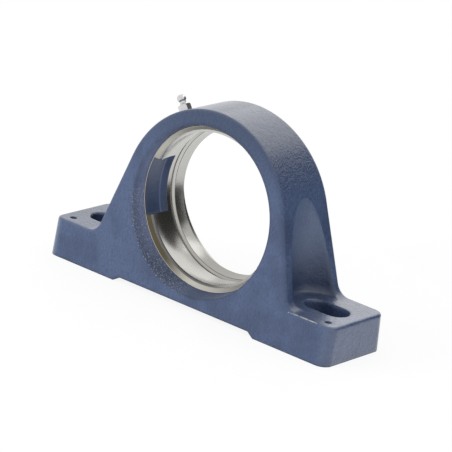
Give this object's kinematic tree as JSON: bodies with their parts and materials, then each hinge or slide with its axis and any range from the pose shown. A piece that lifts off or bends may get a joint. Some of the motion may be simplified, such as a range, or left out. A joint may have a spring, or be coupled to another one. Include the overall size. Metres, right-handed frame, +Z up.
{
  "type": "pillow block bearing housing",
  "caption": "Cast pillow block housing with a spherical seat for an insert bearing, slotted mounting feet and a grease nipple on its arch.",
  "frame": {"origin": "middle of the footprint, on the mounting surface", "axes": "X along the length of the feet, Y along the bore from the front, which has the deeper recess, to the back, Z up"},
  "size_m": [0.25, 0.065, 0.14],
  "materials": {
    "housing": "blue-grey semi-gloss paint over a sand-cast surface, bore machined bare",
    "grease_nipple": "bright zinc plating",
    "nipple_check_ball": "polished steel",
    "nipple_spring": "drawn spring wire"
  },
  "bodies": {
    "body": {"housing": "housing", "grease_nipple": "grease_nipple", "nipple_spring": "nipple_spring"},
    "check_ball": {"nipple_check_ball": "nipple_check_ball"}
  },
  "joints": [
    {"name": "check_ball_slide", "type": "slide", "parent": "body", "child": "check_ball", "axis": [0.5793, 0, -0.8151], "range_m": [0, 0.0008], "stiffness_N_per_m": 300, "springref_m": -0.0005, "deforming": ["nipple_spring"]}
  ]
}
